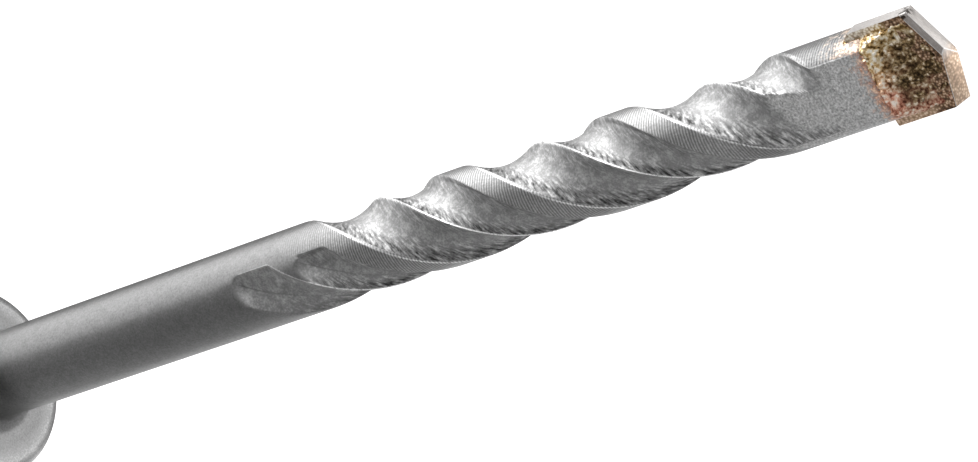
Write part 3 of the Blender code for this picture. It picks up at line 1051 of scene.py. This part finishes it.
    def burnish_and_glint(self, place: Place) -> Term:
        """Mark the burnished lines, which also carry a painted highlight: the land's edges, the ridge, and
        where a gullet cuts the ridge off.

        Args:
            place: Where each point lies.

        Returns:
            1 on the lines and 0 elsewhere.
        """
        height = place.height
        far_line = place.land.line(*self.far_line) * height.between(*self.far_line_start)
        edge_lines = place.land.line(*self.edge_line).highest(far_line)
        edge_lines = edge_lines * (1.0 - height.between(*self.edge_line_end))
        before_ridge = ((1.0 - place.narrow) / self.ridge_line_narrow).clamped() * place.narrow.above(0.0)
        ridge_line = (1.0 - place.wide / self.ridge_line_wide).clamped() * (1.0 - before_ridge)
        cut_line = (1.0 - place.past_gullet_mm.math("ABSOLUTE") / self.cut_line_mm).clamped()
        cut_line = cut_line * place.narrow.above(self.cut_line_share) * height.above(self.cut_line_start)
        cut_line = cut_line * (1.0 - height.above(self.edge_line_end[1]))
        return edge_lines.highest(ridge_line).highest(cut_line)

    def painted_crease_shade_line(self, columns: Term, height: Term, start: Term) -> Term:
        """Mark for the painted shade along the crease of a flute's run-in, which fades out with height."""
        line = columns.line(self.wall_share, self.painted_crease_shade_width)
        return line * (1.0 - (height - start) / self.painted_crease_shade_length).clamped()

    def ahead(self, size: dict[str, Term], height: Term, start: Term, lead: Term) -> Term:
        """Degrees by which a flute's edge is ahead of the helix, so that it starts straight."""
        left = lead - (height - start) * 360.0 / size["flute lead"]
        return left.highest(0.0) * ((height - start) / size["lead blend"] + 1.0).eased()

    def creased(self, columns: Term, span: Term, crease_angle: Term) -> tuple[Term, Term]:
        """Spread a flute's columns so that one of them runs along its crease.

        Args:
            columns: Share of the flute's columns.
            span: The flute's width in degrees.
            crease_angle: Degrees from the crease to the flute's far edge.

        Returns:
            Share of the flute's width, and how near the crease the point is.
        """
        crease = (1.0 - crease_angle / span).highest(self.least_crease_share)
        wall = columns.between(0.0, self.wall_share)
        bed = columns.between(self.wall_share, 1.0)
        return crease * wall + (1.0 - crease) * bed, wall - bed

    def creasing(self, size: dict[str, Term], height: Term, start: Term) -> Term:
        """Depth of the crease at this height."""
        return size["crease depth"] * (1.0 - (height - start) / size["crease length"]).eased()

    def started(self, size: dict[str, Term], height: Term, start: Term, share: Number) -> Term:
        """How much of its depth a flute has.

        Args:
            size: Inputs of the tree.
            height: Height of the point.
            start: Height at which the flute starts.
            share: Share of the flute's width, across which its blunt end is rounded.

        Returns:
            0 before the flute and 1 where it is full.
        """
        middle = share * 2.0 - 1.0
        late = size["run-in rounding"] * middle * middle
        return ((height - start - late) / size["run-in"]).eased()

    def floor(self, share: Term, span: Term, start: Term, end: Term, hollow: Term) -> Term:
        """Radius of a flute's floor: the straight line between its crests, hollowed in the middle."""
        parts = start * (share * span).sin() + end * ((1.0 - share) * span).sin()
        return start * end * span.sin() / parts - hollow * share * (1.0 - share) * 4.0


@dataclass(frozen=True)
class DrillBody:
    """Steel body in one piece: shank, shoulder, shaft, flutes and head."""

    rule: FluteRule = FluteRule()
    columns: int = 104
    ring_step: float = 0.00013
    shank_rings: int = 12
    shaft_rings: int = 16
    arc_steps: int = 10
    end_chamfer: float = 0.0008
    chamfer_round: float = 0.1
    shoulder_round: float = 0.0007
    shoulder_fillet: float = 0.0009
    head_chamfer: float = 0.00015
    slot_width: float = 0.0028
    slot_floor: float = 0.0036
    slot_length: float = 0.036
    slot_disc_radius: float = 0.014
    ball_radius: float = 0.0035
    ball_columns: int = 64
    ball_rings: int = 39
    pocket_floor: float = 0.0033
    pocket_start: float = 0.0105
    pocket_length: float = 0.0205
    seat_clearance: float = 0.00010
    cut_over: float = 0.001
    sharp_angle: float = 28.0

    def build(self, finish: bpy.types.Material) -> bpy.types.Object:
        """Build and dress the body.

        Args:
            finish: The steel's material.

        Returns:
            The finished object.
        """
        body = link_object("fluted_body", self.blank())
        self.rule.apply(body, finish)
        cutter = bmesh.new()
        for mesh in (self.drive_slot(1), self.drive_slot(-1), self.ball_pocket(1), self.ball_pocket(-1),
                     self.plate_seat()):
            cutter.from_mesh(mesh)
        combine(body, "DIFFERENCE", cutter)
        body.data.materials.clear()
        body.data.materials.append(finish)
        body.data.shade_smooth()
        body.data.set_sharp_from_angle(angle=math.radians(self.sharp_angle))
        return body

    def profile(self) -> list[tuple[float, float]]:
        """Profile of the turned blank.

        Returns:
            Height and radius of each ring.
        """
        shank = BIT.shank_radius
        shaft = BIT.shaft_radius
        chamfer = self.end_chamfer
        rings = [(0.0, shank - chamfer)]
        rings.append((chamfer * (1 - self.chamfer_round), shank - chamfer * self.chamfer_round))
        rings.append((chamfer * (1 + self.chamfer_round), shank))
        for i in range(1, self.shank_rings):
            rings.append((BIT.shank_end * i / self.shank_rings, shank))
        turns = [math.pi / 2 * i / self.arc_steps for i in range(self.arc_steps + 1)]
        for turn in turns:
            height = BIT.shank_end - self.shoulder_round * (1 - math.sin(turn))
            rings.append((height, shank - self.shoulder_round * (1 - math.cos(turn))))
        for turn in turns:
            radius = shaft + self.shoulder_fillet * (1 - math.sin(turn))
            rings.append((BIT.shank_end + self.shoulder_fillet * (1 - math.cos(turn)), radius))
        plain_start = BIT.shank_end + self.shoulder_fillet
        for i in range(1, self.shaft_rings):
            rings.append((plain_start + (BIT.wide_flute_start - plain_start) * i / self.shaft_rings, shaft))
        top = BIT.steel_end - self.head_chamfer
        steps = round((top - BIT.wide_flute_start) / self.ring_step)
        for i in range(steps + 1):
            rings.append((BIT.wide_flute_start + (top - BIT.wide_flute_start) * i / steps, shaft))
        rings.append((BIT.steel_end, shaft - self.head_chamfer))
        return rings

    def blank(self) -> bpy.types.Mesh:
        """Turned blank.

        Returns:
            Mesh whose points carry their share of the section, their side, and how far their radius
            is beyond the shaft's.
        """
        bm = bmesh.new()
        layers = {name: bm.verts.layers.float.new(name) for name in ("share", "side", "beyond")}
        rows = []
        for height, radius in self.profile():
            row = []
            for column in range(2 * self.columns):
                angle = math.pi * column / self.columns
                vert = bm.verts.new((radius * math.cos(angle), radius * math.sin(angle), height))
                vert[layers["share"]] = (column % self.columns) / self.columns
                vert[layers["side"]] = column // self.columns
                vert[layers["beyond"]] = radius - BIT.shaft_radius
                row.append(vert)
            rows.append(row)
        skin(bm, rows)
        mesh = bpy.data.meshes.new("fluted_body")
        bm.to_mesh(mesh)
        bm.free()
        return mesh

    def drive_slot(self, side: int) -> bpy.types.Mesh:
        """Disc-milled slot that is open at the shank's end.

        Args:
            side: 1 or -1, for the slot's side of the shank.

        Returns:
            Mesh of what the slot takes away.
        """
        outside = BIT.shank_radius + self.cut_over
        half = self.slot_width / 2
        outline = [Vector((side * reach, -half, -self.cut_over)) for reach in (outside, self.slot_floor)]
        centre = self.slot_floor + self.slot_disc_radius
        last = math.acos((centre - outside) / self.slot_disc_radius)
        for i in range(2 * self.arc_steps + 1):
            turn = last * i / (2 * self.arc_steps)
            reach = centre - self.slot_disc_radius * math.cos(turn)
            height = self.slot_length + self.slot_disc_radius * math.sin(turn)
            outline.append(Vector((side * reach, -half, height)))
        return mesh_from("drive slot", extruded(outline, Vector((0, self.slot_width, 0))))

    def ball_pocket(self, side: int) -> bpy.types.Mesh:
        """Round-ended pocket for a locking ball.

        Args:
            side: 1 or -1, for the pocket's side of the shank.

        Returns:
            Mesh of what the pocket takes away.
        """
        bm = bmesh.new()
        bmesh.ops.create_uvsphere(bm, u_segments=self.ball_columns, v_segments=self.ball_rings,
                                  radius=self.ball_radius)
        upper = [vert for vert in bm.verts if vert.co.z > 0]
        bmesh.ops.translate(bm, vec=(0, 0, self.pocket_length - 2 * self.ball_radius), verts=upper)
        place = (0, side * (self.pocket_floor + self.ball_radius), self.pocket_start + self.ball_radius)
        bmesh.ops.translate(bm, vec=place, verts=bm.verts)
        return mesh_from("ball pocket", bm)

    def plate_seat(self) -> bpy.types.Mesh:
        """Slot across the head that holds the plate and its braze.

        Returns:
            Mesh of what the seat takes away.
        """
        width = BIT.plate_thickness + 2 * self.seat_clearance
        floor = BIT.plate_bottom - self.seat_clearance
        size = Vector((2 * BIT.shank_radius, width, BIT.total_length - floor))
        bm = bmesh.new()
        placed = Matrix.Translation((0, 0, floor + size.z / 2)) @ Matrix.Diagonal((*size, 1.0))
        bmesh.ops.create_cube(bm, size=1.0, matrix=placed)
        return mesh_from("plate seat", bm)


# Carbide plate


class Facet(Enum):
    """Kinds of face on the carbide plate: how far each is ground pale, and how far braze stains it."""

    CHEEK = (0.10, 1.0)
    END = (0.75, 0.25)
    FLANK = (0.82, 0.90)
    BEVEL = (0.50, 0.25)


@dataclass(frozen=True)
class CarbidePlate:
    """Roof-shaped carbide plate: each half has a relieved flank and a bevel on its leading side."""

    chamfer: float = 0.00025
    point_angle: float = 145.0
    edge_offset: float = 0.00037
    flank_relief: float = 17.2
    bevel_angle: float = 40.2
    end_relief: float = 10.0
    edge_round: float = 0.00004
    round_steps: int = 2
    round_shape: float = 0.6
    grinding_stock: float = 0.001
    cheek_turn: float = 0.9
    end_turn: float = 0.7
    bevel_rise: float = 0.85
    largest_rounding: float = 8e-8
    sharp_angle: float = 25.0

    def build(self, finish: bpy.types.Material) -> bpy.types.Object:
        """Build and dress the plate.

        Args:
            finish: The carbide's material.

        Returns:
            The finished object.
        """
        bm = self.block()
        self.grind(bm)
        bmesh.ops.bevel(bm, geom=bm.edges[:], offset=self.edge_round, segments=self.round_steps,
                        affect="EDGES", profile=self.round_shape, clamp_overlap=True)
        bmesh.ops.translate(bm, vec=(BIT.plate_offset, 0, 0), verts=bm.verts)
        plate = link_object("carbide_plate", mesh_from("carbide_plate", bm))
        self.mark_facets(plate.data)
        plate.data.materials.append(finish)
        plate.data.shade_smooth()
        plate.data.set_sharp_from_angle(angle=math.radians(self.sharp_angle))
        return plate

    def block(self) -> bmesh.types.BMesh:
        """Plate before grinding, with chamfered lower corners.

        Returns:
            The bmesh.
        """
        half = BIT.plate_width / 2
        low = BIT.plate_bottom
        top = BIT.total_length + self.grinding_stock
        corner = self.chamfer
        outline = [(-half + corner, low), (half - corner, low), (half, low + corner)]
        outline += [(half, top), (-half, top), (-half, low + corner)]
        face = [Vector((x, -BIT.plate_thickness / 2, z)) for x, z in outline]
        return extruded(face, Vector((0, BIT.plate_thickness, 0)))

    def grind(self, bm: bmesh.types.BMesh) -> None:
        """Grind both ends, both flanks and both bevels.

        Args:
            bm: The plate.
        """
        fall = 1 / math.tan(math.radians(self.point_angle / 2))
        relief = math.tan(math.radians(self.flank_relief))
        bevel = math.tan(math.radians(self.bevel_angle))
        end = math.tan(math.radians(self.end_relief))
        ridge = BIT.total_length + self.edge_offset * relief
        for side in (1, -1):
            corner = Vector((side * BIT.plate_width / 2, side * BIT.plate_thickness / 2, 0))
            plane_cut(bm, corner, Vector((side, -side * end, 0)))
            edge = Vector((0, side * self.edge_offset, ridge))
            plane_cut(bm, edge, Vector((side * fall, -side * relief, 1)))
            plane_cut(bm, edge, Vector((side * fall, side * bevel, 1)))

    def kind_of(self, normal: Vector, centre: Vector) -> Facet:
        """Find which facet a face belongs to.

        Args:
            normal: Where the face points.
            centre: Its middle.

        Returns:
            The kind of facet.
        """
        if abs(normal.y) > self.cheek_turn:
            return Facet.CHEEK
        if abs(normal.x) > self.end_turn:
            return Facet.END
        leading = normal.y * (centre.x - BIT.plate_offset) > 0
        return Facet.BEVEL if leading and normal.z < self.bevel_rise else Facet.FLANK

    def mark_facets(self, mesh: bpy.types.Mesh) -> None:
        """Store how far each face is ground, and where braze has stained it.

        Args:
            mesh: The plate's mesh. The small faces that round its edges are ground and clean.
        """
        ground = mesh.attributes.new("ground", "FLOAT", "FACE")
        stain = mesh.attributes.new("stain", "FLOAT", "FACE")
        for polygon in mesh.polygons:
            kind = self.kind_of(polygon.normal, polygon.center)
            rounds_edge = polygon.area < self.largest_rounding and kind is not Facet.CHEEK
            values = (1.0, 0.0) if rounds_edge else kind.value
            ground.data[polygon.index].value, stain.data[polygon.index].value = values


# Braze


@dataclass(frozen=True)
class BrazeFillets:
    """Braze round the plate: thin seams in the seat under a rough hollow fillet on each cheek."""

    joint: float = 0.00010
    shelf_overlap: float = 0.00006
    middle_rise: float = 0.0026
    end_rise: float = 0.0020
    foot_step: float = 0.0001
    reach: float = 0.00190
    gullet_azimuth: float = 81.5
    gullet_depth: float = 0.00156
    bound_sides: int = 64
    bound_height: float = 0.006
    bound_foot_share: float = 0.995
    bound_top_share: float = 0.97
    voxel: float = 0.000055
    lump_mm: float = 0.60
    granule_mm: float = 0.26
    granule_shift: tuple[int, int, int] = (5, 3, 1)
    lump_height: float = 0.00014
    granule_height: float = 0.00010
    hollow_shade_places: Range = (0.0013, 0.0021)
    hollow_shade_start: float = 1.15
    hollow_shade_fall: float = 1.7
    hollow_shade_lump: float = 0.7
    arc_steps: int = 8

    def build(self, finish: bpy.types.Material) -> bpy.types.Object:
        """Build and dress the braze.

        Args:
            finish: The braze's material.

        Returns:
            The finished object.
        """
        braze = link_object("braze_fillets", mesh_from("braze_fillets", self.rough_block()))
        combine(braze, "INTERSECT", self.head_bound())
        remesh = braze.modifiers.new("even mesh", "REMESH")
        remesh.mode = "VOXEL"
        remesh.voxel_size = self.voxel
        plain_copy(braze, "braze_fillets")
        self.granulate(braze.data)
        braze.data.materials.clear()
        braze.data.materials.append(finish)
        braze.data.shade_smooth()
        return braze

    def section(self, x: float, rise: float) -> list[Vector]:
        """Section of the braze at this place along the plate.

        Args:
            x: Place along the plate.
            rise: How far the fillets climb the plate's cheeks above the steel.

        Returns:
            Points of the closed outline.
        """
        foot = BIT.plate_thickness / 2 + self.joint
        bottom = BIT.plate_bottom - self.joint
        shelf = BIT.steel_end - self.shelf_overlap
        right = [(foot, bottom), (foot, shelf), (BIT.shank_radius, shelf)]
        right += [(BIT.shank_radius, shelf + self.foot_step), (self.reach, shelf + self.foot_step)]
        for i in range(1, self.arc_steps + 1):
            turn = math.pi / 2 * i / self.arc_steps
            y = self.reach - (self.reach - BIT.plate_thickness / 2) * math.sin(turn)
            right.append((y, shelf + self.foot_step + rise * (1 - math.cos(turn))))
        return [Vector((x, y, z)) for y, z in right + [(-y, z) for y, z in reversed(right)]]

    def rough_block(self) -> bmesh.types.BMesh:
        """Braze before it is trimmed: higher in the middle, as the plate is.

        Returns:
            The bmesh.
        """
        half = BIT.plate_width / 2
        bm = bmesh.new()
        sections = [self.section(-half, self.end_rise), self.section(BIT.plate_offset, self.middle_rise),
                    self.section(half, self.end_rise)]
        skin(bm, [[bm.verts.new(point) for point in section] for section in sections])
        return bm

    def head_bound(self) -> bmesh.types.BMesh:
        """Bound of the braze: the head's round, cut by its two flat gullets.

        Returns:
            The bmesh.
        """
        bm = bmesh.new()
        bmesh.ops.create_cone(bm, cap_ends=True, segments=self.bound_sides, depth=self.bound_height,
                              radius1=BIT.shaft_radius * self.bound_foot_share,
                              radius2=BIT.shaft_radius * self.bound_top_share,
                              matrix=Matrix.Translation((0, 0, BIT.steel_end)))
        for azimuth in (self.gullet_azimuth, self.gullet_azimuth + 180.0):
            turn = math.radians(azimuth)
            normal = Vector((math.cos(turn), math.sin(turn), 0))
            plane_cut(bm, normal * self.gullet_depth, normal)
        return bm

    def granulate(self, mesh: bpy.types.Mesh) -> None:
        """Push the surface in and out by lumps and granules, and mark where the painted shade lies in the
        hollow.

        Args:
            mesh: The braze's mesh.
        """
        hollow_shade = mesh.attributes.new("hollow_shade", "FLOAT", "POINT")
        cheek = BIT.plate_thickness / 2
        near, far = self.hollow_shade_places
        for index, vert in enumerate(mesh.vertices):
            place = vert.co * MM_PER_METRE
            lump = noise.noise(place / self.lump_mm)
            granule = noise.noise(place / self.granule_mm + Vector(self.granule_shift))
            # Painted shade: darkest beside the plate's cheek, and gone towards the fillet's outer edge and
            # the plate's ends.
            hollow = (abs(vert.co.y) - cheek) / (self.reach - cheek)
            fade = 1.0 - min(max((abs(vert.co.x) - near) / (far - near), 0.0), 1.0)
            settled = self.hollow_shade_start - self.hollow_shade_fall * hollow + self.hollow_shade_lump * lump
            hollow_shade.data[index].value = fade * min(max(settled, 0.0), 1.0)
            vert.co = vert.co + vert.normal * (lump * self.lump_height + granule * self.granule_height)


# Studio


@dataclass(frozen=True)
class PhotoCamera:
    """Camera fitted to the photograph, for an image of 978 by 462."""

    image_width: int = 978
    focal_pixels: float = 4000.0
    sensor_mm: float = 36.0
    nearest: float = 0.01
    place: tuple[float, float, float] = (0.057538572, 0.129448395, 0.198724632)
    right: tuple[float, float, float] = (-0.54008342, -0.41090784, 0.73448257)
    down: tuple[float, float, float] = (-0.77824256, 0.57606204, -0.24998210)

    def build(self) -> None:
        """Set up the camera and make it the scene's."""
        data = bpy.data.cameras.new("photo camera")
        data.sensor_width = self.sensor_mm
        data.lens = self.focal_pixels / self.image_width * self.sensor_mm
        data.clip_start = self.nearest
        camera = bpy.data.objects.new("photo camera", data)
        bpy.context.scene.collection.objects.link(camera)
        right = Vector(self.right).normalized()
        up = -Vector(self.down).normalized()
        back = right.cross(up)
        turned = Matrix((right, up, back)).transposed().to_4x4()
        camera.matrix_world = Matrix.Translation(self.place) @ turned
        bpy.context.scene.camera = camera


@dataclass(frozen=True)
class Card:
    """Shaded grey card round part of the bit, out of the picture, that only reflections show.

    Its shades run from one end to the other, and it turns to one upper colour with height.
    """

    name: str
    start: float
    end: float
    top: float
    shades: Shades
    radius: float = 0.045
    foot: float = 0.001
    steps: int = 24
    fade: Range = (0.030, 0.055)
    upper: Shades = ((0.0, "#a8a8a8"), (1.0, "#a8a8a8"))

    def build(self) -> None:
        """Build the card and hide it from all but reflections."""
        bm = bmesh.new()
        turns = [math.radians(self.start + (self.end - self.start) * i / self.steps)
                 for i in range(self.steps + 1)]
        low, high = [[bm.verts.new((self.radius * math.cos(turn), self.radius * math.sin(turn), height))
                      for turn in turns] for height in (self.foot, self.top)]
        for i in range(self.steps):
            bm.faces.new((low[i], low[i + 1], high[i + 1], high[i]))
        card = link_object(self.name, mesh_from(self.name, bm))
        card.data.materials.append(self.paper())
        card.visible_camera = False
        card.visible_diffuse = False
        card.visible_shadow = False

    def paper(self) -> bpy.types.Material:
        """Matt grey paper of the card.

        Returns:
            The material.
        """
        surface = Surface(f"matt grey {self.name}", 1.0, 0.0)
        shader = shader_of(surface.material)
        shader.inputs["Specular IOR Level"].default_value = 0.0
        middle = math.radians((self.start + self.end) / 2)
        ahead = surface.y * math.cos(middle) - surface.x * math.sin(middle)
        beside = surface.x * math.cos(middle) + surface.y * math.sin(middle)
        share = ahead.math("ARCTAN2", beside) / math.radians(self.end - self.start) + 0.5
        colour = coated(Coat(share, self.shades), Coat(share, self.upper, surface.z.between(*self.fade)))
        surface.tree.links.new(colour, shader.inputs["Base Color"])
        return surface.material


@dataclass(frozen=True)
class AreaLight:
    """Soft area light that faces the bit: its place round the axis, and the height that it is aimed at."""

    name: str
    azimuth: float
    distance: float
    height: float
    power: float
    size: tuple[float, float]
    aim: float

    def build(self) -> None:
        """Put the light in the scene."""
        data = bpy.data.lights.new(self.name, "AREA")
        data.shape = "RECTANGLE"
        data.size, data.size_y = self.size
        data.energy = self.power
        light = bpy.data.objects.new(self.name, data)
        turn = math.radians(self.azimuth)
        light.location = (self.distance * math.cos(turn), self.distance * math.sin(turn), self.height)
        towards = Vector((0, 0, self.aim)) - light.location
        light.rotation_euler = towards.to_track_quat("-Z", "Y").to_euler()
        bpy.context.scene.collection.objects.link(light)


@dataclass(frozen=True)
class Studio:
    """Pale floor, even pale surroundings, two cards for the metal to reflect, and two soft lights."""

    floor_radius: float = 3.0
    floor_sides: int = 96
    floor_colour: str = "#f6f6f6"
    floor_glow: float = 0.45
    world_level: float = 0.62
    front_card: Card = Card("front card", start=38.0, end=205.0, top=0.150, shades=(
        (0.10, "#606060"), (0.33, "#141414"), (0.58, "#7a7a7a"), (0.78, "#b8b8b8"), (1.0, "#dcdcdc")))
    back_card: Card = Card("back card", start=-140.0, end=-50.0, top=0.080, shades=(
        (0.0, "#141414"), (0.85, "#1c1c1c"), (1.0, "#5c5c5c")))
    key_light: AreaLight = AreaLight("key light", azimuth=-20.0, distance=0.10, height=0.088, power=0.20,
                                     size=(0.12, 0.17), aim=0.088)
    top_light: AreaLight = AreaLight("top light", azimuth=245.0, distance=0.24, height=0.27, power=0.31,
                                     size=(0.24, 0.24), aim=0.075)

    def build(self) -> None:
        """Build the world, the floor, the two cards and the two lights."""
        self.world()
        self.floor()
        for part in (self.front_card, self.back_card, self.key_light, self.top_light):
            part.build()

    def world(self) -> None:
        """Plain pale surroundings."""
        world = bpy.data.worlds.new("studio")
        bpy.context.scene.world = world
        world.use_nodes = True
        background = world.node_tree.nodes["Background"]
        background.inputs["Color"].default_value = (1.0, 1.0, 1.0, 1.0)
        background.inputs["Strength"].default_value = self.world_level

    def floor(self) -> None:
        """Plain pale floor, which glows a little for the camera, for reflections and for glass."""
        bm = bmesh.new()
        bmesh.ops.create_circle(bm, cap_ends=True, segments=self.floor_sides, radius=self.floor_radius)
        floor = link_object("studio_floor", mesh_from("studio_floor", bm))
        material = new_material("matt white paper", 0.9, 0.0)
        shader = shader_of(material)
        shader.inputs["Base Color"].default_value = linear(self.floor_colour)
        shader.inputs["Specular IOR Level"].default_value = 0.0
        shader.inputs["Emission Color"].default_value = (1.0, 1.0, 1.0, 1.0)
        tree = material.node_tree
        rays = add_node(tree, "ShaderNodeLightPath")
        camera, glossy, transmission = (Term(tree, rays.outputs[f"Is {kind} Ray"])
                                        for kind in ("Camera", "Glossy", "Transmission"))
        seen = camera.highest(glossy).highest(transmission)
        tree.links.new((seen * self.floor_glow).socket, shader.inputs["Emission Strength"])
        floor.data.materials.append(material)


def hand_over(piece: bpy.types.Object, node: str) -> None:
    """Let a piece stand for a node of the frame and ride with it.

    Args:
        piece: Finished piece.
        node: Node that it replaces.
    """
    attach(piece, "root")
    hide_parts(node)
    piece.data.calc_loop_triangles()
    log.info("%s: %d triangles", piece.name, len(piece.data.loop_triangles))


def main() -> None:
    """Build the bit and its studio."""
    logging.basicConfig(level=logging.INFO, format="%(message)s")
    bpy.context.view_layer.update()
    bpy.context.scene.view_settings.view_transform = "Standard"
    PhotoCamera().build()
    Studio().build()
    hand_over(DrillBody().build(BlastedSteel().make()), "drill_body")
    hand_over(CarbidePlate().build(GroundCarbide().make()), "carbide_tip")
    hand_over(BrazeFillets().build(GranularBraze().make()), "braze_filler")


if __name__ == "__main__":
    main()
